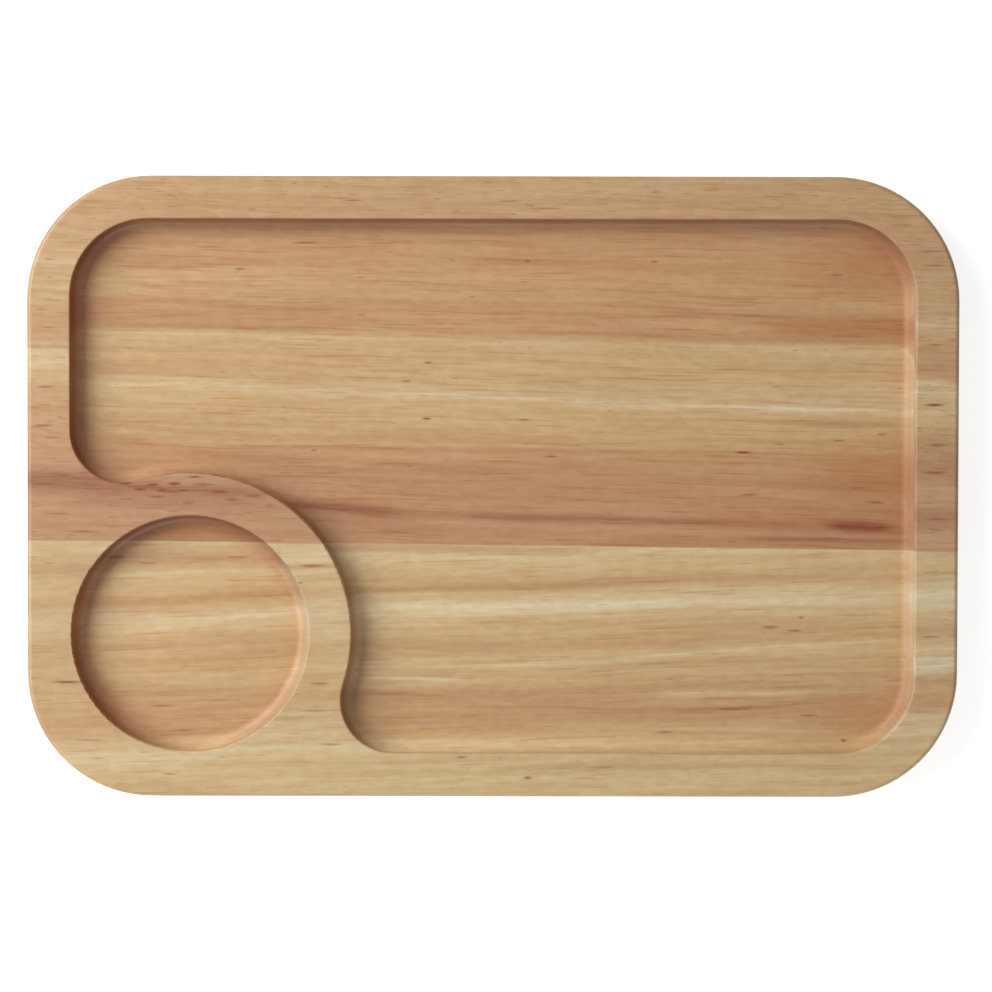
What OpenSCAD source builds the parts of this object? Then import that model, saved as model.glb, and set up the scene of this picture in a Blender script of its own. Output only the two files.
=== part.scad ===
// Serving board: a rectangular wooden board with round corners, a food recess
// that bends round a smaller round recess for a dip, and a level floor in both.
// The blank is two staves glued edge to edge, and the recesses are cut across both.
// The origin is at the middle of the underside, with X along the length and Z up.

/* [Board] */
// Length of the board, along X
board_l = 300; // [260:1:400]
// Width of the board, along Y
board_w = 200; // [180:1:280]
// Thickness of the board
board_t = 15; // [13:0.5:25]
// Radius of the board's corners, seen from above
corner_r = 40; // [30:1:60]
// Rounding of the outer edges, above and below
edge_r = 1.5; // [0.5:0.1:3]

/* [Food recess] */
// Width of the rim between the board's edge and the food recess
rim_w = 14; // [10:0.5:18]
// Radius of the food recess's corners, seen from above
recess_corner_r = 25; // [15:1:35]
// Radius of the two corners where the recess runs out beside the dip recess
end_corner_r = 17; // [10:0.5:24]

/* [Dip recess] */
// Diameter of the round recess
dip_d = 76; // [64:1:84]
// Distance from the board's edges to the round recess
dip_margin = 14.5; // [11:0.5:18]
// Width of the raised web between the two recesses
web_w = 14; // [8:0.5:20]

/* [Wall] */
// Depth of both recesses below the rim
recess_depth = 7.5; // [6:0.5:9]
// Radius of the cove where a wall runs into the floor
cove_r = 4; // [2:0.5:5]
// Rounding of the rim's edge at the top of a wall
lip_r = 0.6; // [0.3:0.1:1]

/* [Staves] */
// Width of the back stave, half way along the board
back_stave_w = 119; // [60:1:150]
// Slant of the glue line against the board's long edges, in degrees
glue_slant = 0.6; // [-2:0.1:2]

/* [Hidden] */
$fn = 96;

// Height of the floor of both recesses
floor_z = board_t - recess_depth;
// How far the cutting shapes stand above the board
over = 2;
// How far a wall's cutting shape reaches in over the floor, past the cove
lap = 1;
// How far the shapes that cut the floor stay off the walls, so that they end in that lap
floor_inset = cove_r + lap / 2;

// Rounds a worked-out position to a thousandth, so that the pieces that meet there share it.
function fine(v) = round(v * 1000) / 1000;

// Half the length and half the width of the food recess
recess_hx = board_l / 2 - rim_w;
recess_hy = board_w / 2 - rim_w;
// Where the straight walls of the food recess run into its corners
corner_x = recess_hx - recess_corner_r;
corner_y = recess_hy - recess_corner_r;

dip_r = dip_d / 2;
// Centre of the dip recess, in the front left corner
dip_at = [-board_l / 2 + dip_margin + dip_r, -board_w / 2 + dip_margin + dip_r];

// The two end corners of the food recess touch a straight wall and the bend round the dip recess.
// The middle of each lies this far along the wall from the dip's centre.
end_reach = dip_r + web_w + end_corner_r;
end_offset = dip_margin + dip_r - rim_w - end_corner_r;
end_along = fine(sqrt(end_reach * end_reach - end_offset * end_offset));
left_end_at = [-recess_hx + end_corner_r, dip_at.y + end_along];
front_end_at = [dip_at.x + end_along, -recess_hy + end_corner_r];
// Radius of the bend, so that it runs into the end corners without a step
bend_r = norm(left_end_at - dip_at) - end_corner_r;

module rounded_rect(size, r) {
    square([size.x - 2 * r, size.y], center = true);
    square([size.x, size.y - 2 * r], center = true);
    for (x = [-1, 1], y = [-1, 1])
        translate([x * (size.x / 2 - r), y * (size.y / 2 - r)])
            circle(r);
}

// The board before it is hollowed out: two crossing bars, with a quarter turn at each corner.
module blank() {
    bar_l = board_l - 2 * corner_r;
    bar_w = board_w - 2 * corner_r;
    translate([0, 0, board_t / 2]) {
        rotate([90, 0, 90])
            linear_extrude(bar_l, center = true)
                rounded_rect([board_w, board_t], edge_r);
        rotate([90, 0, 0])
            linear_extrude(bar_w, center = true)
                rounded_rect([board_l, board_t], edge_r);
        // Each corner as its sides of the middle along X and Y, and the heading it starts from
        for (corner = [[1, 1, 0], [-1, 1, 90], [-1, -1, 180], [1, -1, 270]])
            translate([corner.x * bar_l / 2, corner.y * bar_w / 2, 0])
                rotate([0, 0, corner.z])
                    rotate_extrude(angle = 90)
                        intersection() {
                            rounded_rect([2 * corner_r, board_t], edge_r);
                            translate([0, -board_t])
                                square([2 * corner_r, 2 * board_t]);
                        }
    }
}

// Section of what a wall's cutter takes away. The wall is at 0 and the rim lies to the right:
// a cove rises from the floor, the wall stands straight, and the lip rounds over at the top.
module wall_section() {
    translate([-cove_r - lap, floor_z])
        square([lap, recess_depth + over]);
    translate([-cove_r, floor_z + cove_r]) {
        square([cove_r, recess_depth - cove_r + over]);
        intersection() {
            circle(cove_r);
            translate([0, -cove_r])
                square(cove_r);
        }
    }
    difference() {
        translate([0, board_t - lip_r])
            square([lip_r, lip_r + over]);
        translate([lip_r, board_t - lip_r])
            circle(lip_r);
    }
}

// A straight stretch of wall from a start point, with the recess on the left of its heading.
module straight_wall(start, heading, length) {
    translate(start)
        rotate([0, 0, heading - 90])
            translate([0, length, 0])
                rotate([90, 0, 0])
                    linear_extrude(length)
                        wall_section();
}

// A hollow turned about its centre, with its wall at radius r.
module turned_hollow(centre, r, from, sweep) {
    translate(centre)
        rotate([0, 0, from])
            rotate_extrude(angle = sweep) {
                translate([r, 0])
                    wall_section();
                translate([0, floor_z])
                    square([r - floor_inset, recess_depth + over]);
            }
}

// Outline of the board's front left corner, up to the lines where the food recess's wall
// turns from its straight stretches into the end corners, and from those into the bend.
module corner_outline() {
    polygon([
        [-board_l, left_end_at.y],
        left_end_at,
        dip_at,
        front_end_at,
        [front_end_at.x, -board_w],
        [-board_l, -board_w]
    ]);
}

// The wall that bends round the dip recess, with the food recess outside the bend.
module bend_wall() {
    difference() {
        translate(dip_at)
            rotate([0, 0, 180])
                rotate_extrude()
                    translate([fine(bend_r), 0])
                        translate([bend_r - fine(bend_r), 0])
                            mirror([1, 0])
                                wall_section();
        translate([0, 0, floor_z - over])
            linear_extrude(recess_depth + 3 * over)
                corner_outline();
    }
}

// Outline of the food recess's floor, without its corners, which are turned hollows.
module floor_outline() {
    difference() {
        union() {
            square([2 * (recess_hx - floor_inset), 2 * corner_y], center = true);
            square([2 * corner_x, 2 * (recess_hy - floor_inset)], center = true);
        }
        translate(dip_at)
            circle(bend_r + floor_inset);
        corner_outline();
    }
}

// What is cut away for the food recess, with its wall followed counterclockwise.
module food_recess() {
    translate([0, 0, floor_z])
        linear_extrude(recess_depth + over)
            floor_outline();
    straight_wall([front_end_at.x, -recess_hy], 0, corner_x - front_end_at.x);
    turned_hollow([corner_x, -corner_y], recess_corner_r, -90, 90);
    straight_wall([recess_hx, -corner_y], 90, 2 * corner_y);
    turned_hollow([corner_x, corner_y], recess_corner_r, 0, 90);
    straight_wall([corner_x, recess_hy], 180, 2 * corner_x);
    turned_hollow([-corner_x, corner_y], recess_corner_r, 90, 90);
    straight_wall([-recess_hx, corner_y], 270, corner_y - left_end_at.y);
    turned_hollow(left_end_at, end_corner_r, 0, 360);
    bend_wall();
    turned_hollow(front_end_at, end_corner_r, 90, 360);
}

// The whole board, with both recesses.
module hollowed_board() {
    difference() {
        blank();
        food_recess();
        turned_hollow(dip_at, dip_r, 0, 360);
    }
}

// All the room behind the glue line.
module room_behind_glue_line() {
    translate([0, board_w / 2 - back_stave_w, -over])
        rotate([0, 0, -glue_slant])
            translate([-board_l, 0, 0])
                cube([2 * board_l, board_w, board_t + 2 * over]);
}

module stave_back() {
    color("#bd8f62")
        intersection() {
            hollowed_board();
            room_behind_glue_line();
        }
}

module stave_front() {
    color("#cbab7b")
        difference() {
            hollowed_board();
            room_behind_glue_line();
        }
}

stave_back();
stave_front();
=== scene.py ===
"""Serving board glued up from two staves: its wood, the light on it and the camera above it.

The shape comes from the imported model. Here each stave gets a solid wood whose growth layers,
streaks, fibres, vessels and end grain run through it in one shared frame, in millimetres.
"""

import logging
from dataclasses import dataclass
from enum import Enum
from functools import cached_property

import bmesh
import bpy
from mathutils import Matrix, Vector


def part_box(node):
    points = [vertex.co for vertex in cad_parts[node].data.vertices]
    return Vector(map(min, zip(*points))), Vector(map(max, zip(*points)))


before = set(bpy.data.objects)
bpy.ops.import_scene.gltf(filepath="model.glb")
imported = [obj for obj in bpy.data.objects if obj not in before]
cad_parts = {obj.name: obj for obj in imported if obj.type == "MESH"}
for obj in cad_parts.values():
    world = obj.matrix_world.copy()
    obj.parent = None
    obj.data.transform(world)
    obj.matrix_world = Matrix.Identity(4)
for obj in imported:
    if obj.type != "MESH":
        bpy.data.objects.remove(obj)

log = logging.getLogger("serving_board")

MM_PER_METRE = 1000.0
IMAGE_WIDTH_PX = 992
# The share of the way up at which the rim's flat top starts
TOP_STARTS_AT = 0.98
# How far a recess's mask reaches out past its wall, in mm: where it starts, and where it is full
RECESS_RIM_MM = (-6.0, -2.0)
# How far off the wall the painted warm shade at the right wall's foot starts, and is full, in mm
OFF_WALL_MM = (0.4, 1.6)

Socket = bpy.types.NodeSocket
Colour = tuple[float, float, float, float]
Spot = tuple[float, float]
Range = tuple[float, float]


def srgb(red: int, green: int, blue: int) -> Colour:
    """Turns a colour as it shows on a screen into the linear colour a shader takes.

    Args:
        red: Red from 0 to 255.
        green: Green from 0 to 255.
        blue: Blue from 0 to 255.

    Returns:
        The linear red, green and blue, and an alpha of 1.
    """
    def linear(level: int) -> float:
        """Undoes the screen's curve for one channel."""
        share = level / 255.0
        return share / 12.92 if share <= 0.04045 else ((share + 0.055) / 1.055) ** 2.4

    return (linear(red), linear(green), linear(blue), 1.0)


class Tone(Enum):
    """The colours of the wood, from the palest sapwood to the darkest streak."""

    IVORY = (217, 197, 164)
    CREAM = (208, 183, 145)
    PALE = (202, 172, 129)
    STRAW = (197, 163, 117)
    SAND = (192, 155, 111)
    HONEY = (194, 148, 98)
    TAN = (187, 145, 103)
    RUSSET = (183, 139, 101)
    AMBER = (171, 116, 71)
    COPPER = (168, 119, 82)
    UMBER = (146, 93, 62)
    CHESTNUT = (128, 60, 31)

    @property
    def colour(self) -> Colour:
        """The tone as a shader takes it."""
        return srgb(*self.value)


class Level(Enum):
    """Where a streak shows, with the shares of the way up between which it fades."""

    FLOOR = (0.35, 0.55)
    RIM = (0.45, 0.65)


@dataclass(frozen=True)
class Band:
    """One colour of the growth layers, at the height on the floor where it is purest."""

    at_mm: float
    tone: Tone


@dataclass(frozen=True)
class Streak:
    """One streak of another colour that runs along the grain between two spots, in mm."""

    level: Level
    tone: Tone
    start: Spot
    end: Spot
    half_width_mm: float
    strength: float
    fade_mm: float = 12.0


@dataclass(frozen=True)
class Fleck:
    """One short dark line, where a vessel is cut open lengthways."""

    level: Level
    at: Spot
    length_mm: float
    thickness_mm: float = 1.0
    strength: float = 0.6


def streaks_of(level: Level, *runs: tuple) -> tuple[Streak, ...]:
    """Makes the streaks of one level, each laid over the ones before it.

    Args:
        level: Where they show.
        *runs: For each run of streaks of one tone, the tone and then a row for each streak:
            where it starts along and across the board, where it ends, its half width, its
            strength and, if it isn't the usual one, its fade.

    Returns:
        The streaks.
    """
    return tuple(Streak(level, tone, (x, y), (end_x, end_y), *rest)
                 for tone, *rows in runs for x, y, end_x, end_y, *rest in rows)


def flecks_of(level: Level, *rows: tuple[float, ...]) -> tuple[Fleck, ...]:
    """Makes the flecks of one level.

    Args:
        level: Where they show.
        *rows: For each fleck its place along and across the board and its length, and its
            thickness and strength, if they aren't the usual ones.

    Returns:
        The flecks.
    """
    return tuple(Fleck(level, (x, y), *rest) for x, y, *rest in rows)


@dataclass(frozen=True)
class RimShift:
    """How far the growth layers lie from their place on the floor once they reach the rim."""

    left: tuple[Spot, ...]
    right: tuple[Spot, ...]


@dataclass(frozen=True)
class WoodFinish:
    """The look of one stave: its layers, streaks and flecks, and how rough its surface is."""

    name: str
    bands: tuple[Band, ...]
    streaks: tuple[Streak, ...]
    flecks: tuple[Fleck, ...]
    shift: RimShift
    drift: float
    cast: Colour
    # Painted sheen: lifts green and blue on the rim's flat top, so that it shows paler and greyer
    rim_painted_sheen: Colour
    line_density: float
    vessel_density: float
    rim_vessel_density: float
    roughness: float = 0.42


class Sheet:
    """Adds nodes to one shader tree and joins them."""

    def __init__(self, tree: bpy.types.NodeTree) -> None:
        """Keeps the tree that the nodes go into."""
        self.tree = tree

    def node(self, kind: str, **settings: object) -> bpy.types.Node:
        """Adds a node.

        Args:
            kind: The node's type, without the leading ShaderNode.
            **settings: Values for the node's own properties.

        Returns:
            The new node.
        """
        made = self.tree.nodes.new("ShaderNode" + kind)
        for name, value in settings.items():
            setattr(made, name, value)
        return made

    def feed(self, socket: Socket, value: object) -> None:
        """Joins an output to a socket, or sets the socket to a plain value.

        Args:
            socket: The input to feed.
            value: Another node's output, or a number, vector or colour.
        """
        if isinstance(value, bpy.types.NodeSocket):
            self.tree.links.new(value, socket)
        else:
            socket.default_value = value

    def math(self, operation: str, *values: object, clamp: bool = False) -> Socket:
        """Adds a Math node.

        Args:
            operation: The operation's name.
            *values: Its one to three inputs.
            clamp: Whether the result is kept between 0 and 1.

        Returns:
            The result.
        """
        made = self.node("Math", operation=operation, use_clamp=clamp)
        for socket, value in zip(made.inputs, values):
            self.feed(socket, value)
        return made.outputs[0]

    def ramp(self, value: object, low: object, high: object, start: object = 0.0,
             end: object = 1.0) -> Socket:
        """Carries a value from one range to another on a smooth curve, held at both ends.

        Args:
            value: The value to carry over.
            low: The value that gives start.
            high: The value that gives end.
            start: The result at and below low.
            end: The result at and above high.

        Returns:
            The result.
        """
        made = self.node("MapRange", interpolation_type="SMOOTHSTEP")
        for name, given in (("Value", value), ("From Min", low), ("From Max", high),
                            ("To Min", start), ("To Max", end)):
            self.feed(made.inputs[name], given)
        return made.outputs["Result"]

    def mix(self, factor: object, first: object, second: object,
            blend: str = "MIX") -> Socket:
        """Mixes two colours.

        Args:
            factor: How much of the second colour there is.
            first: The first colour.
            second: The second colour.
            blend: The way they are mixed.

        Returns:
            The mixed colour.
        """
        made = self.node("Mix", data_type="RGBA", blend_type=blend)
        self.feed(made.inputs[0], factor)
        self.feed(made.inputs[6], first)
        self.feed(made.inputs[7], second)
        return made.outputs[2]

    def parts(self, vector: Socket) -> tuple[Socket, Socket, Socket]:
        """Splits a vector into its X, Y and Z."""
        made = self.node("SeparateXYZ")
        self.feed(made.inputs[0], vector)
        return made.outputs[0], made.outputs[1], made.outputs[2]

    def vector_math(self, operation: str, *values: object) -> bpy.types.Node:
        """Adds a Vector Math node.

        Args:
            operation: The operation's name.
            *values: Its vectors.

        Returns:
            The node.
        """
        made = self.node("VectorMath", operation=operation)
        for socket, value in zip(made.inputs, values):
            self.feed(socket, value)
        return made

    def vector(self, x: object, y: object, z: object) -> Socket:
        """Puts X, Y and Z together as a vector."""
        made = self.node("CombineXYZ")
        for socket, value in zip(made.inputs, (x, y, z)):
            self.feed(socket, value)
        return made.outputs[0]

    def noise(self, vector: Socket, detail: float) -> Socket:
        """Adds a Noise Texture read at a vector.

        Args:
            vector: Where it is read, in its own cells.
            detail: How many finer layers are added.

        Returns:
            The noise, about 0 to 1.
        """
        made = self.node("TexNoise")
        self.feed(made.inputs["Vector"], vector)
        made.inputs["Scale"].default_value = 1.0
        made.inputs["Detail"].default_value = detail
        return made.outputs[0]

    def seen(self) -> Socket:
        """Gives 1 for what the camera sees, also in a gloss or through glass, and 0 for light."""
        rays = self.node("LightPath").outputs
        direct = self.math("MAXIMUM", rays["Is Camera Ray"], rays["Is Glossy Ray"])
        return self.math("MAXIMUM", direct, rays["Is Transmission Ray"])

    def group(self, tree: bpy.types.NodeTree, **values: object) -> bpy.types.Node:
        """Places a node group and feeds its inputs.

        Args:
            tree: The group's own tree.
            **values: What each input takes, with spaces in its name as underscores.

        Returns:
            The placed group.
        """
        made = self.node("Group", node_tree=tree)
        for name, value in values.items():
            self.feed(made.inputs[name.replace("_", " ")], value)
        return made


class GroupMaker:
    """Makes one shader node group with named inputs and outputs."""

    def __init__(self, name: str, inputs: dict[str, object], outputs: tuple[str, ...]) -> None:
        """Makes the group's tree and its sockets.

        Args:
            name: The group's name.
            inputs: Each input's name with its default, a number or a vector.
            outputs: The outputs' names. Each gives a number.
        """
        self.tree = bpy.data.node_groups.new(name, "ShaderNodeTree")
        for label, default in inputs.items():
            kind = "NodeSocketFloat" if isinstance(default, float) else "NodeSocketVector"
            socket = self.tree.interface.new_socket(label, in_out="INPUT", socket_type=kind)
            socket.default_value = default
        for label in outputs:
            self.tree.interface.new_socket(label, in_out="OUTPUT", socket_type="NodeSocketFloat")
        self.sheet = Sheet(self.tree)
        self.inside = self.tree.nodes.new("NodeGroupInput").outputs
        self.result = self.tree.nodes.new("NodeGroupOutput").inputs

    def fibre_cells(self) -> Socket:
        """Gives the place in cells as long and thick as a fibre, off the group's own inputs."""
        sheet, inside = self.sheet, self.inside
        along, _, up = sheet.parts(inside["Point"])
        return sheet.vector(sheet.math("DIVIDE", along, inside["Length"]),
                            sheet.math("DIVIDE", inside["Height"], inside["Thickness"]),
                            sheet.math("DIVIDE", up, inside["Thickness"]))

    def give(self, label: str, value: Socket) -> None:
        """Joins a value to one of the group's outputs."""
        self.sheet.feed(self.result[label], value)


@dataclass(frozen=True)
class BoardSizes:
    """The board's own sizes, in mm, that its finish follows."""

    half_length: float = 150.0
    rim_z: float = 15.0
    floor_z: float = 7.5
    recess_corner_r: float = 25.0
    recess_corner_at: Spot = (111.0, 61.0)
    dip_r: float = 38.0
    dip_at: Spot = (-97.5, -47.5)
    web_w: float = 14.0


@dataclass
class WoodGroups:
    """The node groups of both staves' woods, each built once, when it is first asked for."""

    sizes: BoardSizes
    side_facing: float = 0.9
    fleck_core: float = 0.2
    vessel_limit: float = 0.86
    vessel_limit_drop: float = 0.3
    pore_depth_mm: float = 4.0
    pore_range: Range = (0.58, 0.7)
    left_facing: Range = (-0.75, -0.15)
    right_facing: Range = (0.3, 0.95)
    rub_height_mm: float = 12.0

    @cached_property
    def sway(self) -> bpy.types.NodeTree:
        """Makes the group that lets the grain sway off its straight line.

        Returns:
            A group that gives a slow sway and a quick one, each about -1 to 1.
        """
        made = GroupMaker("Grain sway", {"Point": (0.0, 0.0, 0.0)}, ("Slow", "Quick"))
        sheet = made.sheet
        place = sheet.parts(made.inside["Point"])
        for label, cell_mm in (("Slow", (90.0, 28.0, 40.0)), ("Quick", (32.0, 2.5, 6.0))):
            cells = sheet.vector(*(sheet.math("MULTIPLY", part, 1 / size)
                                   for part, size in zip(place, cell_mm)))
            made.give(label, sheet.math("MULTIPLY_ADD", sheet.noise(cells, 1.0), 4.0, -2.0))
        return made.tree

    @cached_property
    def level(self) -> bpy.types.NodeTree:
        """Makes the group that masks the floor of the recesses and the rim.

        Returns:
            A group that gives the share of the way up, and masks of the floor, of all that
            lies above half way, and of the rim's flat top.
        """
        made = GroupMaker("Level", {"Point": (0.0, 0.0, 0.0)}, ("Share", "Floor", "Rim", "Top"))
        sheet = made.sheet
        z = sheet.parts(made.inside["Point"])[2]
        rise = self.sizes.rim_z - self.sizes.floor_z
        share = sheet.math("MULTIPLY_ADD", z, 1 / rise, -self.sizes.floor_z / rise)
        made.give("Share", share)
        made.give("Floor", sheet.ramp(share, *Level.FLOOR.value, 1.0, 0.0))
        made.give("Rim", sheet.ramp(share, *Level.RIM.value))
        made.give("Top", sheet.ramp(share, TOP_STARTS_AT, 1.0))
        return made.tree

    @cached_property
    def foot(self) -> bpy.types.NodeTree:
        """Makes the group that tells how near a point is to the foot of a recess's wall.

        Returns:
            A group that gives masks of the left, right and back walls' feet, of the recesses
            with their walls, and of the dip recess and the web round it.
        """
        # Its left, right and back masks place painted shade at the walls' feet; each reach is how
        # far that painted shade spreads, in mm
        made = GroupMaker(
            "Wall foot",
            {"Point": (0.0, 0.0, 0.0), "Left Reach": 10.5, "Right Reach": 9.0,
             "Back Reach": 6.5},
            ("Left", "Right", "Back", "Recess", "Dip"),
        )
        sheet, sizes = made.sheet, self.sizes
        x, y = sheet.parts(made.inside["Point"])[:2]
        tiny = 0.001

        def reach_past(offset: Socket, limit: float) -> Socket:
            """Gives how far an offset from the middle goes past a limit."""
            past = sheet.math("SUBTRACT", sheet.math("ABSOLUTE", offset), limit)
            return sheet.math("MAXIMUM", past, tiny)

        def radius(first: Socket, second: Socket) -> Socket:
            """Gives the distance that two offsets make together."""
            squares = sheet.math("MULTIPLY_ADD", first, first,
                                 sheet.math("MULTIPLY", second, second))
            return sheet.math("SQRT", squares)

        past_x = reach_past(x, sizes.recess_corner_at[0])
        past_y = reach_past(y, sizes.recess_corner_at[1])
        food = radius(past_x, past_y)
        from_dip_x = sheet.math("SUBTRACT", x, sizes.dip_at[0])
        from_dip_y = sheet.math("SUBTRACT", y, sizes.dip_at[1])
        dip = radius(from_dip_x, from_dip_y)
        in_dip = sheet.math("LESS_THAN", dip, sizes.dip_r + sizes.web_w / 2)

        def choose(for_food: Socket, for_dip: Socket) -> Socket:
            """Gives the food recess's value, or the dip recess's inside that."""
            return sheet.math("MULTIPLY_ADD", sheet.math("SUBTRACT", for_dip, for_food), in_dip,
                              for_food)

        gap = choose(sheet.math("SUBTRACT", sizes.recess_corner_r, food),
                     sheet.math("SUBTRACT", sizes.dip_r, dip))
        food_x = sheet.math("MULTIPLY", sheet.math("DIVIDE", past_x, food),
                            sheet.math("SIGN", x))
        food_y = sheet.math("MULTIPLY", sheet.math("DIVIDE", past_y, food),
                            sheet.math("SIGN", y))
        side_x = choose(food_x, sheet.math("DIVIDE", from_dip_x, dip))
        side_y = choose(food_y, sheet.math("DIVIDE", from_dip_y, dip))
        made.give("Recess", sheet.ramp(gap, *RECESS_RIM_MM))
        made.give("Dip", in_dip)
        off_wall = sheet.ramp(gap, *OFF_WALL_MM)
        sides = (("Left", sheet.ramp(side_x, -self.side_facing, 0.0, 1.0, 0.0)),
                 ("Right", sheet.ramp(side_x, 0.0, self.side_facing)),
                 ("Back", sheet.ramp(side_y, 0.0, self.side_facing)))
        # Masks for the painted shade at the feet of the left, right and back walls
        for label, at_side in sides:
            share = sheet.math("DIVIDE", gap, made.inside[label + " Reach"])
            near = sheet.ramp(share, 0.0, 1.0, 1.0, 0.0)
            # The painted warm shade at the right walls' feet starts a little off the wall
            if label == "Right":
                near = sheet.math("MULTIPLY", near, off_wall)
            made.give(label, sheet.math("MULTIPLY", near, at_side))
        return made.tree

    @cached_property
    def streak(self) -> bpy.types.NodeTree:
        """Makes the group that masks one long streak.

        Returns:
            A group that gives how far a point lies in the streak, from 0 to its strength.
        """
        made = GroupMaker(
            "Growth streak",
            {"Place": (0.0, 0.0, 1.0), "Along": (1.0, 0.0, 0.0), "Across": (0.0, 1.0, 0.0),
             "Full": 40.0, "Gone": 60.0, "Strength": 1.0},
            ("Mask",),
        )
        sheet, inside = made.sheet, made.inside

        def distance(direction: str) -> Socket:
            """Gives how far a point lies from the streak's middle in one direction."""
            dot = sheet.vector_math("DOT_PRODUCT", inside["Place"], inside[direction])
            return sheet.math("ABSOLUTE", dot.outputs["Value"])

        held = sheet.ramp(distance("Along"), inside["Full"], inside["Gone"],
                          inside["Strength"], 0.0)
        made.give("Mask", sheet.ramp(distance("Across"), 0.0, 1.0, held, 0.0))
        return made.tree

    @cached_property
    def fleck(self) -> bpy.types.NodeTree:
        """Makes the group that masks one short line.

        Returns:
            A group that gives the fleck's strength inside it, and the value around it outside.
        """
        made = GroupMaker(
            "Fleck",
            {"Place": (0.0, 0.0, 0.0), "Scale": (1.0, 1.0, 0.0), "Offset": (0.0, 0.0, 0.0),
             "Strength": 0.6, "Around": 0.0},
            ("Mask",),
        )
        sheet, inside = made.sheet, made.inside
        share = sheet.vector_math("MULTIPLY_ADD", inside["Place"], inside["Scale"],
                                  inside["Offset"])
        size = sheet.vector_math("LENGTH", share.outputs[0])
        made.give("Mask", sheet.ramp(size.outputs["Value"], self.fleck_core, 1.0,
                                     inside["Strength"], inside["Around"]))
        return made.tree

    @cached_property
    def fibre(self) -> bpy.types.NodeTree:
        """Makes the group of fine, long fibres.

        Returns:
            A group that gives the fibres' lightness, about 0 to 1 round 0.5.
        """
        made = GroupMaker(
            "Fibre",
            {"Point": (0.0, 0.0, 0.0), "Height": 0.0, "Length": 30.0, "Thickness": 0.5},
            ("Lightness",),
        )
        made.give("Lightness", made.sheet.noise(made.fibre_cells(), 1.0))
        return made.tree

    @cached_property
    def vessels(self) -> bpy.types.NodeTree:
        """Makes the group of short dark lines where the wood's vessels are cut open.

        Returns:
            A group that gives how far a point lies in a vessel, from 0 to 1.
        """
        made = GroupMaker(
            "Vessels",
            {"Point": (0.0, 0.0, 0.0), "Height": 0.0, "Length": 5.0, "Thickness": 0.45,
             "Density": 0.3, "Softness": 0.08},
            ("Mask",),
        )
        sheet, inside = made.sheet, made.inside
        grain = sheet.noise(made.fibre_cells(), 0.0)
        limit = sheet.math("MULTIPLY_ADD", inside["Density"], -self.vessel_limit_drop,
                           self.vessel_limit)
        made.give("Mask", sheet.ramp(grain, limit, sheet.math("ADD", limit, inside["Softness"])))
        return made.tree

    @cached_property
    def end_grain(self) -> bpy.types.NodeTree:
        """Makes the group that tells where the fibres are cut across.

        Returns:
            A group that gives masks of the cut ends that face left and right, and of their
            small pores.
        """
        made = GroupMaker(
            "End grain",
            {"Point": (0.0, 0.0, 0.0), "Facing": (0.0, 0.0, 1.0), "Pore Size": 0.5},
            ("Left", "Right", "Pores"),
        )
        sheet, inside = made.sheet, made.inside
        facing = sheet.parts(inside["Facing"])[0]
        pore = sheet.vector(self.pore_depth_mm, inside["Pore Size"], inside["Pore Size"])
        cells = sheet.vector_math("DIVIDE", inside["Point"], pore)
        dots = sheet.ramp(sheet.noise(cells.outputs[0], 0.0), *self.pore_range)
        cut = sheet.ramp(sheet.math("ABSOLUTE", facing), *self.right_facing)
        made.give("Left", sheet.ramp(facing, *self.left_facing, 1.0, 0.0))
        made.give("Right", sheet.ramp(facing, *self.right_facing))
        made.give("Pores", sheet.math("MULTIPLY", dots, cut))
        return made.tree

    @cached_property
    def rub(self) -> bpy.types.NodeTree:
        """Makes the group of the unevenly rubbed oil.

        Returns:
            A group that gives how dull the oil is, about 0 to 1 round 0.5.
        """
        made = GroupMaker("Rubbed oil", {"Point": (0.0, 0.0, 0.0), "Patch": 30.0}, ("Dullness",))
        sheet, inside = made.sheet, made.inside
        patch = sheet.vector(inside["Patch"], inside["Patch"], self.rub_height_mm)
        cells = sheet.vector_math("DIVIDE", inside["Point"], patch)
        made.give("Dullness", sheet.noise(cells.outputs[0], 1.0))
        return made.tree


@dataclass(frozen=True)
class Grain:
    """One layer of fibres: how long and thick they are, and how much they tint the wood."""

    length_mm: float
    thickness_mm: float
    darkest: tuple[float, float, float]
    lightest: tuple[float, float, float]


FINE_GRAIN = Grain(14.0, 0.5, (0.98, 0.96, 0.94), (1.02, 1.03, 1.04))
LONG_GRAIN = Grain(38.0, 2.0, (0.96, 0.93, 0.89), (1.03, 1.05, 1.07))
WIDE_GRAIN = Grain(160.0, 6.0, (0.96, 0.94, 0.92), (1.03, 1.05, 1.06))
FIGURE = Grain(4.5, 1.8, (0.965, 0.945, 0.93), (1.03, 1.045, 1.055))


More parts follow.
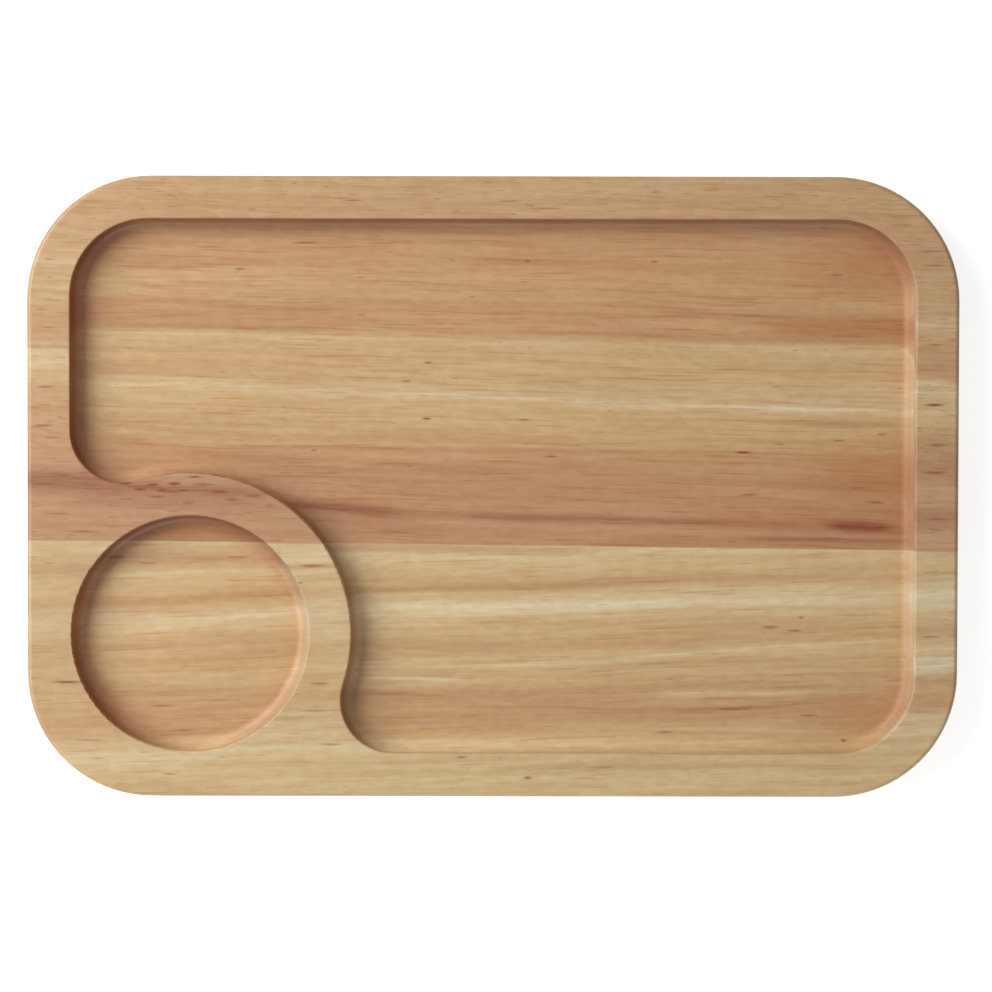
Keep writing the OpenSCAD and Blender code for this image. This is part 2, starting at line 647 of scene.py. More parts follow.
@dataclass
class SolidWood:
    """Builds one stave's material from its finish and the shared groups."""

    finish: WoodFinish
    groups: WoodGroups
    lowest_mm: float
    highest_mm: float
    # Partly end grain, partly painted sheen: greyer walls where they face the lamp, in the food
    # recess and in the dip
    right_wall_grain_and_sheen: Colour = (0.85, 0.90, 1.02, 1.0)
    dip_right_wall_grain_and_sheen: Colour = (0.77, 0.85, 1.00, 1.0)
    # Partly end grain, partly painted shade: darker, redder walls where they face away from the
    # lamp
    left_wall_grain_and_shade: Colour = (0.78, 0.60, 0.52, 1.0)
    outer_end_tint: Colour = (0.81, 0.79, 0.77, 1.0)
    # Painted shade: a darker, redder floor at the foot of the walls that face away from the lamp
    left_foot_painted_shade: Colour = (0.78, 0.54, 0.46, 1.0)
    # Painted warm shade: a darker, more orange floor a little way in front of the walls that face
    # the lamp
    right_foot_painted_shade: Colour = (0.98, 0.86, 0.80, 1.0)
    # Painted shade: a darker back wall and floor at its foot
    back_foot_painted_shade: Colour = (0.63, 0.51, 0.48, 1.0)
    line_tint: Colour = (0.90, 0.78, 0.70, 1.0)
    fibre_range: Range = (0.33, 0.67)
    worn_range: Range = (0.7, 1.15)
    worn_strength: Range = (0.53, 1.02)
    line_length_mm: float = 20.0
    line_thickness_mm: float = 0.6
    line_softness: float = 0.16
    fleck_share: float = 1.15
    vessel_share: float = 0.5
    pore_share: float = 0.08
    end_grain_loss: float = 0.8
    slow_sway_mm: float = 0.6
    quick_sway_mm: float = 0.2
    rubbed_roughness: float = 0.25
    vessel_roughness: float = 0.2
    end_roughness: float = 0.3
    relief_strength: float = 0.35
    relief_depth_m: float = 0.00004

    def curve(self, sheet: Sheet, y: Socket, points: tuple[Spot, ...],
              reach: float = 20.0) -> Socket:
        """Reads a shift, in mm, off a curve along the board's width.

        Args:
            sheet: The sheet the nodes go on.
            y: The place across the board, in mm.
            points: The curve's points, as place and shift in mm.
            reach: The largest shift either way.

        Returns:
            The shift in mm.
        """
        span = 100.0
        place = sheet.math("MULTIPLY_ADD", y, 0.5 / span, 0.5)
        made = sheet.node("FloatCurve")
        line = made.mapping.curves[0]
        ends = [(-span, points[0][1]), *points, (span, points[-1][1])]
        spots = [((at + span) / (2 * span), 0.5 + shift / (2 * reach)) for at, shift in ends]
        line.points[0].location = spots[0]
        line.points[1].location = spots[-1]
        for spot in spots[1:-1]:
            line.points.new(*spot)
        for point in line.points:
            point.handle_type = "AUTO_CLAMPED"
        made.mapping.update()
        sheet.feed(made.inputs["Value"], place)
        return sheet.math("MULTIPLY_ADD", made.outputs[0], 2 * reach, -reach)

    def shift(self, sheet: Sheet, x: Socket, y: Socket, share: Socket) -> Socket:
        """Works out how far the layers have moved from their place on the floor.

        Args:
            sheet: The sheet the nodes go on.
            x: The place along the board, in mm.
            y: The place across the board, in mm.
            share: The share of the way up from the floor to the rim.

        Returns:
            The shift in mm.
        """
        left = self.curve(sheet, y, self.finish.shift.left)
        right = self.curve(sheet, y, self.finish.shift.right)
        along = sheet.math("MULTIPLY_ADD", x, 0.5 / self.groups.sizes.half_length, 0.5,
                           clamp=True)
        both = sheet.math("MULTIPLY_ADD", sheet.math("SUBTRACT", right, left), along, left)
        return sheet.math("MULTIPLY", both, share)

    def layers(self, sheet: Sheet, height: Socket) -> Socket:
        """Colours the growth layers.

        Args:
            sheet: The sheet the nodes go on.
            height: The height in the grain, in mm.

        Returns:
            The layers' colour.
        """
        span = self.highest_mm - self.lowest_mm
        made = sheet.node("ValToRGB")
        stops = made.color_ramp
        stops.interpolation = "EASE"
        bands = sorted(self.finish.bands, key=lambda band: band.at_mm)
        while len(stops.elements) > 1:
            stops.elements.remove(stops.elements[0])
        for index, band in enumerate(bands):
            at = (band.at_mm - self.lowest_mm) / span
            stop = stops.elements[0] if index == 0 else stops.elements.new(at)
            stop.position = at
            stop.color = band.tone.colour
        sheet.feed(made.inputs[0], sheet.math("MULTIPLY_ADD", height, 1 / span,
                                              -self.lowest_mm / span))
        return made.outputs[0]

    def streaked(self, sheet: Sheet, colour: Socket, place: Socket, masks: dict[Level, Socket],
                 worn: Socket) -> Socket:
        """Lays every streak over the layers.

        Args:
            sheet: The sheet the nodes go on.
            colour: The layers' colour.
            place: The place along and across the grain, in mm, with 1 as its last number.
            masks: How far each level shows at the point.
            worn: How full the streaks are at the point, from 0 to 1.

        Returns:
            The colour with the streaks.
        """
        for level, shown in masks.items():
            layered = colour
            for streak in self.finish.streaks:
                if streak.level is not level:
                    continue
                middle = Vector(streak.start).lerp(Vector(streak.end), 0.5)
                length = streak.end[0] - streak.start[0]
                slope = (streak.end[1] - streak.start[1]) / length
                across = Vector((-slope, 1.0, slope * middle.x - middle.y))
                mask = sheet.group(
                    self.groups.streak, Place=place, Along=(1.0, 0.0, -middle.x),
                    Across=across / streak.half_width_mm, Full=length / 2 - streak.fade_mm,
                    Gone=length / 2 + streak.fade_mm, Strength=streak.strength).outputs[0]
                layered = sheet.mix(mask, layered, streak.tone.colour)
            colour = sheet.mix(sheet.math("MULTIPLY", worn, shown), colour, layered)
        return colour

    def flecked(self, sheet: Sheet, colour: Socket, place: Socket,
                masks: dict[Level, Socket]) -> Socket:
        """Lays every fleck over the colour.

        Args:
            sheet: The sheet the nodes go on.
            colour: The colour so far.
            place: The place along and across the grain, in mm.
            masks: How far each level shows at the point.

        Returns:
            The colour with the flecks.
        """
        shares = {Level.FLOOR: 0.0, Level.RIM: 0.0}
        for fleck in self.finish.flecks:
            wide, high = 2 / fleck.length_mm, 2 / fleck.thickness_mm
            shares[fleck.level] = sheet.group(
                self.groups.fleck, Place=place, Scale=(wide, high, 0.0),
                Offset=(-fleck.at[0] * wide, -fleck.at[1] * high, 0.0),
                Strength=fleck.strength, Around=shares[fleck.level]).outputs[0]
        for level, share in shares.items():
            shown = sheet.math("MULTIPLY", share, masks[level], clamp=True)
            colour = sheet.mix(sheet.math("MULTIPLY", shown, self.fleck_share), colour,
                               Tone.CHESTNUT.colour)
        return colour

    def build(self) -> bpy.types.Material:
        """Builds the material.

        Returns:
            The stave's material.
        """
        finish, groups = self.finish, self.groups
        material = bpy.data.materials.new(finish.name)
        material.use_nodes = True
        material.node_tree.nodes.clear()
        sheet = Sheet(material.node_tree)
        place = sheet.node("TexCoord")
        scaled = sheet.node("VectorMath", operation="SCALE")
        sheet.feed(scaled.inputs[0], place.outputs["Object"])
        scaled.inputs["Scale"].default_value = MM_PER_METRE
        point = scaled.outputs[0]
        x, y = sheet.parts(point)[:2]

        level = sheet.group(groups.level, Point=point).outputs
        masks = {Level.FLOOR: level["Floor"], Level.RIM: level["Rim"]}
        sway = sheet.group(groups.sway, Point=point).outputs
        swayed = sheet.math("MULTIPLY_ADD", sway["Slow"], self.slow_sway_mm,
                            sheet.math("MULTIPLY_ADD", sway["Quick"], self.quick_sway_mm, y))
        along = sheet.math("MULTIPLY_ADD", x, finish.drift, swayed)
        height = sheet.math("ADD", along, self.shift(sheet, x, y, level["Share"]))
        height = sheet.math("MULTIPLY_ADD", sway["Slow"], self.slow_sway_mm, height)

        grains = [(grain, sheet.group(groups.fibre, Point=point, Height=along,
                                      Length=grain.length_mm,
                                      Thickness=grain.thickness_mm).outputs[0])
                  for grain in (FINE_GRAIN, LONG_GRAIN, WIDE_GRAIN, FIGURE)]
        fine, long = grains[0][1], grains[1][1]
        worn = sheet.ramp(sheet.math("ADD", fine, long), *self.worn_range, *self.worn_strength)

        colour = self.layers(sheet, height)
        along_and_across = sheet.vector(x, swayed, 1.0)
        colour = self.streaked(sheet, colour, along_and_across, masks, worn)
        end = sheet.group(groups.end_grain, Point=point, Facing=place.outputs["Normal"]).outputs
        cut = sheet.math("ADD", end["Left"], end["Right"], clamp=True)
        grained = sheet.math("MULTIPLY_ADD", cut, -self.end_grain_loss, 1.0)
        for grain, lightness in grains:
            tint = sheet.mix(sheet.ramp(lightness, *self.fibre_range), (*grain.darkest, 1.0),
                             (*grain.lightest, 1.0))
            colour = sheet.mix(grained, colour, tint, "MULTIPLY")
        lines = sheet.group(groups.vessels, Point=point, Height=along,
                            Length=self.line_length_mm, Thickness=self.line_thickness_mm,
                            Density=finish.line_density, Softness=self.line_softness).outputs[0]
        colour = sheet.mix(sheet.math("MULTIPLY", lines, grained), colour, self.line_tint,
                           "MULTIPLY")
        colour = self.flecked(sheet, colour, along_and_across, masks)

        more = finish.rim_vessel_density - finish.vessel_density
        vessel = sheet.group(groups.vessels, Point=point, Height=along,
                             Density=sheet.math("MULTIPLY_ADD", level["Top"], more,
                                                finish.vessel_density)).outputs[0]
        colour = sheet.mix(sheet.math("MULTIPLY", vessel, self.vessel_share), colour,
                           Tone.UMBER.colour)
        colour = sheet.mix(1.0, colour, finish.cast, "MULTIPLY")
        # painted sheen on the rim's flat top
        colour = sheet.mix(level["Top"], colour, finish.rim_painted_sheen, "MULTIPLY")

        foot = sheet.group(groups.foot, Point=point).outputs
        below = sheet.math("SUBTRACT", 1.0, level["Top"])
        inside = sheet.math("MULTIPLY", below, foot["Recess"])
        outside = sheet.math("SUBTRACT", below, inside)
        # Walls that face the lamp get end grain greyed by painted sheen, walls that face away get
        # end grain darkened by painted shade
        right_walls_grain_and_sheen = sheet.mix(foot["Dip"], self.right_wall_grain_and_sheen, self.dip_right_wall_grain_and_sheen)
        # end grain with painted sheen on the walls that face the lamp
        for share, where, tint in ((end["Left"], inside, right_walls_grain_and_sheen),
                                   # end grain with painted shade on the walls that face away from
                                   # the lamp
                                   (end["Right"], inside, self.left_wall_grain_and_shade),
                                   # painted shade at the foot of the walls that face away from the
                                   # lamp
                                   (foot["Left"], inside, self.left_foot_painted_shade),
                                   # painted warm shade in front of the walls that face the lamp
                                   (foot["Right"], inside, self.right_foot_painted_shade),
                                   # painted shade at the foot of the back walls
                                   (foot["Back"], inside, self.back_foot_painted_shade),
                                   (cut, outside, self.outer_end_tint)):
            colour = sheet.mix(sheet.math("MULTIPLY", share, where), colour, tint, "MULTIPLY")
        colour = sheet.mix(sheet.math("MULTIPLY", end["Pores"], self.pore_share), colour,
                           Tone.CHESTNUT.colour)

        dull = sheet.group(groups.rub, Point=point).outputs[0]
        roughness = sheet.math("MULTIPLY_ADD", sheet.math("SUBTRACT", dull, 0.5),
                               self.rubbed_roughness, finish.roughness)
        roughness = sheet.math("MULTIPLY_ADD", vessel, self.vessel_roughness, roughness)
        roughness = sheet.math("MULTIPLY_ADD", end["Left"], self.end_roughness, roughness)

        ridges = sheet.group(groups.fibre, Point=point, Height=y, Length=FINE_GRAIN.length_mm,
                             Thickness=FINE_GRAIN.thickness_mm).outputs[0]
        relief = sheet.math("MULTIPLY", ridges, sheet.math("SUBTRACT", 1.0, cut))
        bump = sheet.node("Bump")
        bump.inputs["Strength"].default_value = self.relief_strength
        bump.inputs["Distance"].default_value = self.relief_depth_m
        sheet.feed(bump.inputs["Height"], relief)

        shader = sheet.node("BsdfPrincipled")
        sheet.feed(shader.inputs["Base Color"], colour)
        sheet.feed(shader.inputs["Roughness"], roughness)
        sheet.feed(shader.inputs["Normal"], bump.outputs[0])
        output = sheet.node("OutputMaterial")
        sheet.feed(output.inputs["Surface"], shader.outputs[0])
        return material


BACK_WOOD = WoodFinish(
    name="Back stave wood",
    bands=(
        Band(-24, Tone.RUSSET), Band(-12, Tone.RUSSET), Band(6, Tone.RUSSET), Band(10.5, Tone.TAN),
        Band(14, Tone.SAND), Band(24, Tone.STRAW), Band(31, Tone.PALE), Band(37, Tone.STRAW),
        Band(42, Tone.STRAW), Band(47, Tone.PALE), Band(48.2, Tone.SAND), Band(50, Tone.TAN),
        Band(57, Tone.TAN), Band(62, Tone.SAND), Band(74, Tone.TAN), Band(86, Tone.TAN),
        Band(100, Tone.SAND),
    ),
    streaks=(
        *streaks_of(
            Level.FLOOR,
            (Tone.TAN, (-140, 38.6, -50, 36.6, 4, 0.6)),
            (Tone.STRAW, (-150, 34.6, -60, 31.2, 3, 0.3)),
            (Tone.CREAM, (-150, 34.8, 150, 23.2, 2.5, 0.65)),
            (Tone.IVORY, (-30, 30.1, 134, 24.2, 0.9, 0.7)),
            (Tone.PALE, (-126, 68, -60, 66.4, 5, 0.35)),
            (Tone.COPPER, (-142, 55.6, -44, 53.6, 4.6, 0.4), (-134, 61, -85, 59.4, 1.4, 0.5),
             (-92, 58.2, -50, 56.6, 0.9, 0.75, 8), (-126, 52.5, -50, 50.3, 1.5, 0.55),
             (-8, 56, 132, 53.6, 1.1, 0.4), (54, 56.2, 100, 55.2, 0.9, 0.6, 8),
             (8, 50.2, 60, 48.6, 1.2, 0.6, 10), (92, 52.4, 134, 50.4, 1.2, 0.9, 8)),
            (Tone.AMBER, (92, 51.2, 142, 50.4, 5.5, 1.2)),
            (Tone.CREAM, (48, 45.2, 118, 43, 2, 0.15)),
            (Tone.TAN, (26, 38.6, 134, 36.8, 0.9, 0.7), (-126, 36.6, -84, 35, 1, 0.6, 8),
             (-112, 40.4, -20, 38.4, 1.4, 0.4)),
            (Tone.HONEY, (100, 35.2, 134, 34.8, 1.6, 0.6)),
            (Tone.TAN, (94, 29.6, 132, 28.6, 0.9, 0.7, 8), (28, 22.4, 134, 21, 1, 0.6)),
            (Tone.COPPER, (92, 21.2, 134, 19.6, 1.7, 0.6)),
            (Tone.TAN, (-100, 25, -20, 22.6, 1, 0.2)),
            (Tone.COPPER, (-4, 12.4, 134, 9.8, 1, 0.5), (-90, 13.2, 24, 11, 1.3, 0.45),
             (-100, 11.4, -60, 8.6, 2.8, 0.6), (-134, 17, -106, 13, 2.4, 0.5)),
            (Tone.AMBER, (-130, -14.5, -68, -15.5, 6, 0.6, 6)),
            # The copper, umber and chestnut streaks right of the bend are a dark streak in the
            # wood, deepened and widened by painted shade where the bend's shadow falls
            (Tone.COPPER, (-62, -10.6, -20, -12.6, 5, 0.75)),
            (Tone.UMBER, (-68, -5.8, -30, -8.8, 3.2, 0.95, 8)),
            (Tone.CHESTNUT, (-66, -6.2, -38, -8.6, 2, 0.5, 8)),
            (Tone.COPPER, (-40, -14.4, 60, -15.6, 4, 0.3)),
            (Tone.UMBER, (-40, -8.4, 40, -10.2, 2.6, 0.5), (-6, -9.4, 114, -12, 2.3, 0.8),
             (62, -11, 106, -11.8, 2, 0.3)),
            (Tone.COPPER, (40, -17, 136, -18.2, 3.4, 0.8)),
            (Tone.AMBER, (70, -9.8, 142, -13, 6, 0.9, 16)),
            (Tone.CHESTNUT, (109, -11.6, 129, -12.6, 3.2, 1.15, 6)),
            (Tone.UMBER, (62, -11.2, 104, -12, 1.2, 0.5, 8), (84, -16, 134, -17, 1.2, 0.75)),
            (Tone.COPPER, (34, -1, 64, -1.6, 0.8, 0.6, 8), (84, -6.2, 134, -7.6, 0.9, 0.75),
             (70, 0.8, 134, -0.6, 1, 0.5)),
            (Tone.AMBER, (102, 72, 150, 72, 17, 0.75, 22), (104, 3, 150, 3, 17, 0.85, 20)),
        ),
        *streaks_of(
            Level.RIM,
            (Tone.COPPER, (-152, 45, -134, 44.4, 0.9, 0.6, 3)),
            (Tone.CREAM, (-152, 41.5, -134, 41, 2, 0.25, 3)),
            (Tone.COPPER, (-160, -2, -118, -3, 17, 0.4, 8), (-160, 22, -126, 22, 24, 0.2, 6)),
            (Tone.PALE, (-160, 68, -126, 68, 26, 0.45, 6)),
            (Tone.UMBER, (-160, 2.2, -118, 0.8, 5.6, 1.2, 8),
             (-134, -1.5, -68, -4.5, 8.5, 0.6, 14)),
            (Tone.CHESTNUT, (-124, 0.4, -76, -2, 2.2, 0.5)),
            (Tone.COPPER, (-152, -12.5, -60, -15, 2, 0.35, 10)),
            (Tone.CREAM, (134, 53, 152, 52.6, 3.6, 0.75, 3)),
            (Tone.IVORY, (134, 30.4, 152, 30, 2, 0.55, 3)),
            (Tone.UMBER, (128, 11, 158, 10.4, 11, 0.5, 3), (128, -8.6, 158, -9.2, 6, 0.5, 3)),
            (Tone.COPPER, (100, 76, 152, 74, 5, 0.45, 10)),
        ),
    ),
    flecks=(
        *flecks_of(
            Level.FLOOR,
            (-61, 79, 12, 1.2, 0.5), (-92, 77.8, 12, 1, 0.35), (-82, 70.5, 5), (11, 73, 3),
            (52, 72.7, 4), (111, 69, 6), (-28, 34.1, 4, 1.1), (-21, 40, 3.5),
            (-21.5, 22, 4.5, 1.2, 0.75), (10, 22, 6, 1, 0.5), (126, 17, 5, 1, 0.5),
            (81, 11, 8, 1.6, 0.85), (19, 9.7, 7, 1.1, 0.55), (-58, 11.7, 3),
            (83, -2.4, 9, 1.1, 0.55), (118, 0.2, 8, 1, 0.5), (124, -4.2, 8, 1.2, 0.5),
            (112, 15.2, 6, 1, 0.5),
        ),
        *flecks_of(
            Level.RIM,
            (-45, 92, 9, 1, 0.5), (5, 92, 11, 1, 0.4), (17, 89.5, 14, 1.2, 0.4),
            (-113, -0.2, 16, 1.4, 0.5), (-104, -1.8, 12, 1.4, 0.55), (-93, 0.4, 10, 1.3, 0.45),
            (-118, 0.9, 6, 1.1, 0.9), (-113.5, -1, 6, 1.2, 0.95), (-109.5, 0.5, 6, 1.2, 0.95),
            (-106.5, -1.2, 5, 1.3, 0.95), (-102.5, 0.7, 6, 1.2, 0.9), (-99.5, -1.4, 5, 1.1, 0.8),
            (-96, 3, 6, 1.1, 0.75), (-88, 3.6, 7, 1.1, 0.7), (-108, -3.6, 7, 1.4, 0.5),
            (-98, -5.6, 6, 1.3, 0.45), (-88, -2, 8, 1.8, 0.65), (-84, -4.6, 6, 1.4, 0.55),
            (-77, -3.2, 9, 1.6, 0.55), (-72, -6.4, 5, 1.3, 0.35), (-103, -8.4, 6, 1, 0.35),
            (-118, -4.4, 7, 1.2, 0.3), (-138, 3.6, 9, 1.4, 0.4), (-144, 0.8, 10, 1.2, 0.35),
            (-144, 32, 9, 1.2, 0.45), (-145, 20, 10, 1.3, 0.5), (-142, 16, 8, 1, 0.4),
            (-140, -9, 12, 1, 0.35), (-132, -14.8, 14, 1.2, 0.4), (142, 26.6, 9, 1.5, 0.8),
            (142, 46, 9, 1, 0.45), (143, 14, 10, 1.2, 0.5), (142, 5.4, 11, 1.4),
            (143, -9.6, 9, 1.3, 0.5), (141, 76.4, 12, 1, 0.5), (142, 71.6, 12, 1, 0.5),
        ),
    ),
    shift=RimShift(
        left=((-20.0, 0.0), (5.0, 0.0), (35.0, -15.0), (44.0, 6.0), (62.0, 0.0)),
        right=((-20.0, 0.0), (15.0, -1.0), (30.0, -2.0), (34.0, 12.0), (47.0, 10.0), (62.0, 0.0)),
    ),
    drift=0.02,
    cast=(0.995, 0.995, 1.0, 1.0),
    rim_painted_sheen=(1.01, 1.07, 1.14, 1.0),
    line_density=0.8,
    vessel_density=0.3,
    rim_vessel_density=0.5,
)

FRONT_WOOD = WoodFinish(
    name="Front stave wood",
    bands=(
        Band(-100, Tone.STRAW), Band(-87, Tone.STRAW), Band(-84, Tone.PALE), Band(-82.5, Tone.PALE),
        Band(-79.5, Tone.SAND), Band(-75, Tone.TAN), Band(-68, Tone.TAN), Band(-62, Tone.SAND),
        Band(-57, Tone.STRAW), Band(-51.5, Tone.SAND), Band(-46.5, Tone.STRAW),
        Band(-42.5, Tone.PALE), Band(-39, Tone.CREAM), Band(-36, Tone.PALE), Band(-33, Tone.SAND),
        Band(-30, Tone.STRAW), Band(-24, Tone.PALE), Band(-17, Tone.PALE),
    ),
    streaks=(
        *streaks_of(
            Level.FLOOR,
            (Tone.COPPER, (-60, -19.6, 34, -21, 2.4, 0.5, 14), (-42, -34.4, 48, -30.8, 1.9, 0.55)),
            (Tone.RUSSET, (40, -31, 114, -28.2, 1.7, 0.8)),
            (Tone.TAN, (100, -26.4, 140, -25.6, 3, 0.55)),
            (Tone.CREAM, (-44, -40.6, 60, -38.6, 2.6, 0.3)),
            (Tone.IVORY, (5, -39.6, 52, -38.2, 1.8, 0.3)),
            (Tone.CREAM, (50, -37.2, 136, -35.4, 2.8, 0.6)),
            (Tone.TAN, (-20, -44.6, 60, -43.6, 0.8, 0.5), (56, -46.2, 118, -44.8, 1.6, 0.6),
             (-44, -52.4, 90, -49.2, 1.5, 0.6)),
            (Tone.RUSSET, (-44, -52.2, 10, -53, 1.4, 0.5)),
            (Tone.CREAM, (-20, -58.8, 52, -55.6, 1.2, 0.7), (44, -55.6, 128, -49.6, 1.4, 0.7)),
            (Tone.RUSSET, (20, -58.6, 124, -54.8, 0.9, 0.5)),
            (Tone.PALE, (70, -60.6, 134, -59, 1, 0.7)),
            (Tone.CREAM, (-40, -62.4, -10, -62.8, 1.3, 0.75, 8)),
            (Tone.RUSSET, (-44, -68, 48, -69, 1.6, 0.6)),
            (Tone.COPPER, (-46, -67.4, -26, -67.4, 1.6, 0.5, 6)),
            (Tone.PALE, (56, -66.8, 128, -66.2, 1.7, 0.85)),
            (Tone.COPPER, (-10, -71.6, 52, -72.2, 0.9, 0.6)),
            (Tone.UMBER, (62, -71.8, 92, -70.8, 1.1, 0.6, 8)),
            (Tone.COPPER, (86, -70.4, 120, -67.8, 1.8, 0.55, 8), (50, -79.6, 88, -79.8, 1.2, 0.4)),
            (Tone.AMBER, (104, -76, 150, -76, 14, 0.7, 20)),
            (Tone.HONEY, (-40, -80.6, 130, -80.6, 2, 0.6)),
            (Tone.RUSSET, (-130, -23.4, -60, -23.2, 6, 0.75)),
            (Tone.COPPER, (-130, -24, -60, -23.6, 2.4, 0.45)),
            (Tone.HONEY, (-136, -50, -58, -49, 40, 0.32, 6), (-130, -39, -62, -35.4, 4.6, 0.6)),
            (Tone.COPPER, (-130, -38.6, -62, -34, 2.4, 0.5)),
            (Tone.SAND, (-122, -52, -62, -47, 5, 0.5, 8)),
            (Tone.CREAM, (-122, -47.4, -90, -44.6, 1.1, 0.6, 8),
             (-94, -43.4, -62, -40, 1.7, 0.3, 8)),
            (Tone.RUSSET, (-128, -53.2, -64, -50.6, 1.5, 0.6)),
            (Tone.TAN, (-104, -57.2, -68, -55, 1.3, 0.6)),
            (Tone.CREAM, (-94, -61.6, -64, -59.8, 0.9, 0.5, 8)),
            (Tone.RUSSET, (-128, -64.8, -82, -66.2, 2.6, 0.6)),
        ),
        *streaks_of(
            Level.RIM,
            (Tone.CREAM, (-152, -20.2, -44, -19.6, 1.7, 0.4, 3)),
            (Tone.TAN, (-160, -38, -124, -38, 48, 0.7, 6)),
            (Tone.UMBER, (-160, -54, -124, -54, 16, 0.17, 6), (-160, -26, -124, -26, 6, 0.14, 6)),
            (Tone.HONEY, (-82, -62, -42, -62, 44, 0.22, 6)),
            (Tone.COPPER, (-152, -26.6, -124, -27, 2.4, 0.7, 3)),
            (Tone.PALE, (-84, -77, -44, -77, 9, 0.7, 6)),
            (Tone.RUSSET, (-70, -25.8, -44, -25.2, 1.6, 0.8, 4)),
            (Tone.TAN, (-152, -38.2, -130, -38, 1.2, 0.6, 3)),
            (Tone.CREAM, (-66, -46, -44, -45, 2.4, 0.3, 4)),
            (Tone.RUSSET, (134, -27, 152, -26.6, 1.2, 0.3, 3)),
            (Tone.CREAM, (134, -29.4, 152, -29.2, 2, 0.5, 3)),
            (Tone.SAND, (-64, -42, -44, -42, 10, 0.5, 4)),
            (Tone.CREAM, (134, -37.4, 152, -37, 4, 0.8, 3)),
            (Tone.RUSSET, (134, -46.6, 152, -46.2, 2.4, 0.7, 3)),
            (Tone.IVORY, (134, -57, 152, -56.4, 5.4, 0.85, 3)),
            (Tone.PALE, (112, -77, 152, -75, 7.5, 0.8, 6)),
            (Tone.RUSSET, (124, -71.6, 152, -69.8, 1.4, 0.6, 4),
             (118, -82.4, 150, -80, 1.6, 0.5, 6), (0, -89.6, 122, -90, 1.5, 0.6, 14)),
        ),
    ),
    flecks=(
        *flecks_of(
            Level.FLOOR,
            (90, -45.6, 8, 1.4, 0.5), (98, -46.6, 7, 1.2, 0.55), (100, -42.2, 3),
            (78, -71.6, 14, 1.3, 0.5), (103, -73.6, 9, 1.2, 0.45), (56, -79.6, 8, 1.1, 0.45),
            (114, -82, 2.6, 1.4, 0.7), (-107, -71.6, 12, 1.1, 0.4), (-122, -23.6, 9, 1.6, 0.5),
            (-83, -23.2, 12, 1.2, 0.4), (-112, -25.4, 8, 1.2, 0.35), (-100, -79.4, 9, 1.2, 0.35),
        ),
        *flecks_of(
            Level.RIM,
            (-137, -63.4, 13, 1.3, 0.7), (-124, -68.4, 9, 1, 0.35), (-130, -82, 14, 1, 0.35),
            (-58, -25.2, 13, 1.4), (-62, -31, 3, 0.9), (-56, -64, 9, 1.2, 0.45),
            (-58, -72.6, 12, 1, 0.35), (-52, -83.2, 10, 1.2, 0.4), (-10, -86.9, 5, 1.2, 0.5),
            (11.5, -93.2, 4, 1.6), (36, -90, 12, 1.2, 0.35), (-104, -93, 8, 1.2, 0.4),
            (141, -48, 9, 1, 0.45), (138, -72, 9, 1, 0.35),
        ),
    ),
    shift=RimShift(left=((-90.0, 0.0), (-20.0, 0.0)), right=((-90.0, 0.0), (-20.0, 0.0))),
    drift=-0.035,
    cast=(1.05, 1.10, 1.14, 1.0),
    rim_painted_sheen=(0.99, 1.04, 1.07, 1.0),
    line_density=0.7,
    vessel_density=0.2,
    rim_vessel_density=0.3,
)


@dataclass
class Stave:
    """One stave of the board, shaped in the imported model."""

    node: str
    finish: WoodFinish

    def dress(self, groups: WoodGroups) -> None:
        """Gives the stave its wood.

        Args:
            groups: The node groups that both woods share.
        """
        low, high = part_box(self.node)
        wood = SolidWood(self.finish, groups, low.y * MM_PER_METRE, high.y * MM_PER_METRE)
        material = wood.build()
        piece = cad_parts[self.node]
        for slot in piece.material_slots:
            slot.material = material
        log.info("%s dressed in %s", self.node, self.finish.name)


@dataclass
class Board:
    """The serving board: two staves glued edge to edge, with two recesses cut in them."""

    sizes: BoardSizes = BoardSizes()
    staves: tuple[Stave, ...] = (Stave("stave_back", BACK_WOOD), Stave("stave_front", FRONT_WOOD))

    def dress(self) -> None:
        """Gives every stave its wood."""
        groups = WoodGroups(self.sizes)
        for stave in self.staves:
            stave.dress(groups)


def put_in_scene(name: str, data: bpy.types.ID) -> bpy.types.Object:
    """Puts a new object in the scene.

    Args:
        name: The object's name.
        data: Its mesh, lamp or camera.

    Returns:
        The object.
    """
    made = bpy.data.objects.new(name, data)
    bpy.context.scene.collection.objects.link(made)
    return made


@dataclass(frozen=True)
class Lamp:
    """One soft lamp that faces the middle of the board."""

    name: str
    at_m: tuple[float, float, float]
    width_m: float
    height_m: float
    watts: float


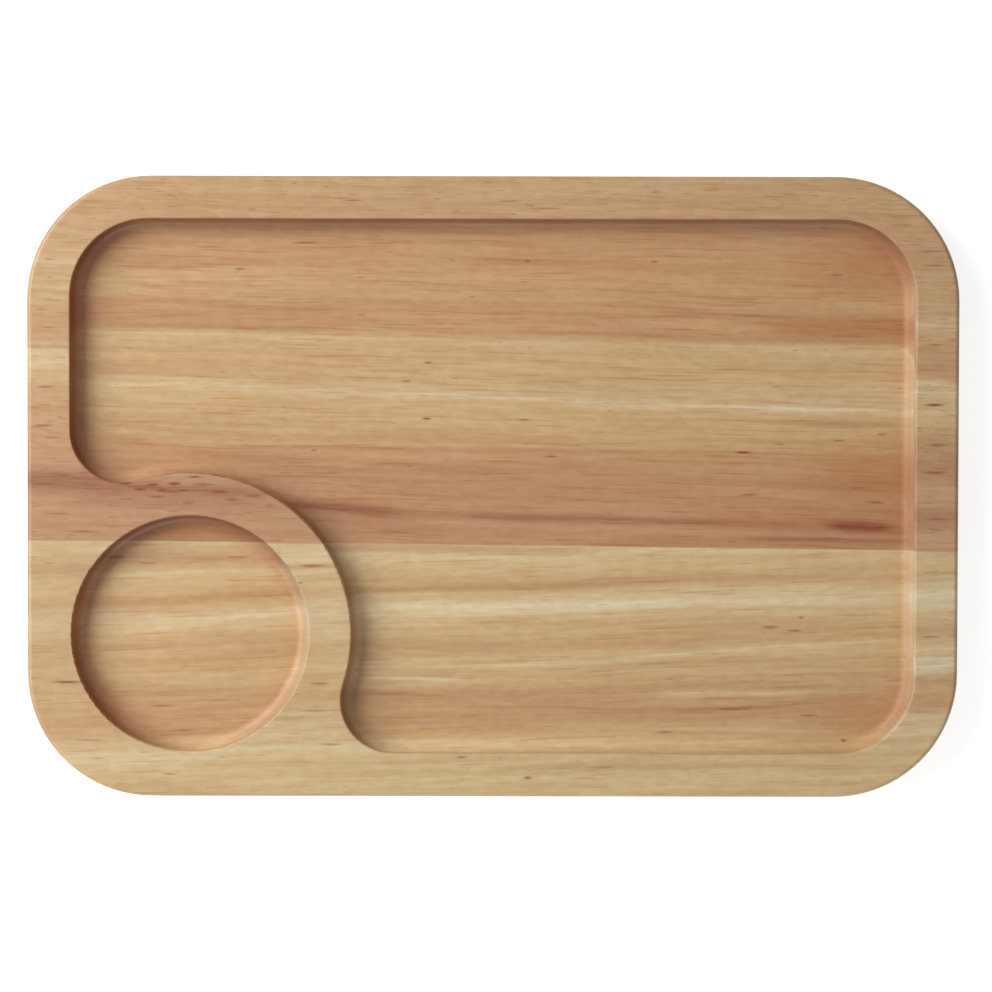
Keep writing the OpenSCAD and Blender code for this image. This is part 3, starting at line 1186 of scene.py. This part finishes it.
@dataclass
class Studio:
    """The floor, the light and the camera."""

    floor_side_m: float = 4.0
    ambient: float = 0.37
    floor_white: float = 0.85
    floor_lift: float = 0.68
    lamps: tuple[Lamp, ...] = (
        Lamp("key", (-0.81, 0.27, 0.635), 1.05, 0.8, 14.4),
        Lamp("front card", (0.15, -0.95, 0.24), 0.8, 0.22, 2.2),
    )
    camera_at_m: tuple[float, float, float] = (0.000607, 0.03691, 1.17561)
    camera_turn: tuple[float, float, float] = (-0.034231, -0.000279, 0.002110)
    focal_px: float = 3607.5
    sensor_mm: float = 36.0
    nearest_m: float = 0.01

    def lay_floor(self) -> None:
        """Lays a plain pale floor that shows white to the camera and keeps the shadow."""
        shape = bmesh.new()
        bmesh.ops.create_grid(shape, x_segments=1, y_segments=1, size=self.floor_side_m / 2)
        mesh = bpy.data.meshes.new("floor")
        shape.to_mesh(mesh)
        shape.free()
        floor = put_in_scene("floor", mesh)
        material = bpy.data.materials.new("Pale floor")
        material.use_nodes = True
        material.node_tree.nodes.clear()
        sheet = Sheet(material.node_tree)
        matt = sheet.node("BsdfDiffuse")
        matt.inputs["Color"].default_value = (self.floor_white,) * 3 + (1.0,)
        seen = sheet.seen()
        glow = sheet.node("Emission")
        sheet.feed(glow.inputs["Strength"], sheet.math("MULTIPLY", seen, self.floor_lift))
        both = sheet.node("AddShader")
        sheet.feed(both.inputs[0], matt.outputs[0])
        sheet.feed(both.inputs[1], glow.outputs[0])
        output = sheet.node("OutputMaterial")
        sheet.feed(output.inputs["Surface"], both.outputs[0])
        mesh.materials.append(material)
        log.info("floor laid")

    def light(self) -> None:
        """Hangs the lamps and sets the light of the room."""
        for lamp in self.lamps:
            data = bpy.data.lights.new(lamp.name, "AREA")
            data.shape = "RECTANGLE"
            data.size = lamp.width_m
            data.size_y = lamp.height_m
            data.energy = lamp.watts
            hung = put_in_scene(lamp.name, data)
            hung.location = lamp.at_m
            hung.rotation_euler = (-Vector(lamp.at_m)).to_track_quat("-Z", "Y").to_euler()

        world = bpy.data.worlds.new("Room")
        world.use_nodes = True
        world.node_tree.nodes.clear()
        sheet = Sheet(world.node_tree)
        seen = sheet.seen()
        sky = sheet.node("Background")
        sheet.feed(sky.inputs["Strength"],
                   sheet.math("MULTIPLY_ADD", seen, 1.0 - self.ambient, self.ambient))
        output = sheet.node("OutputWorld")
        sheet.feed(output.inputs["Surface"], sky.outputs[0])
        bpy.context.scene.world = world
        log.info("lamps hung")

    def aim_camera(self) -> None:
        """Puts the camera above the board, as in the photograph."""
        data = bpy.data.cameras.new("camera")
        data.sensor_width = self.sensor_mm
        data.sensor_fit = "HORIZONTAL"
        data.lens = self.sensor_mm * self.focal_px / IMAGE_WIDTH_PX
        data.clip_start = self.nearest_m
        camera = put_in_scene("camera", data)
        camera.location = self.camera_at_m
        camera.rotation_euler = self.camera_turn
        bpy.context.scene.camera = camera
        log.info("camera aimed")

    def build(self) -> None:
        """Builds the whole studio."""
        self.lay_floor()
        self.light()
        self.aim_camera()
        bpy.context.scene.view_settings.view_transform = "Standard"


def main() -> None:
    logging.basicConfig(level=logging.INFO, format="%(name)s: %(message)s")
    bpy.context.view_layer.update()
    Board().dress()
    Studio().build()
    log.info("sizes written")


if __name__ == "__main__":
    main()
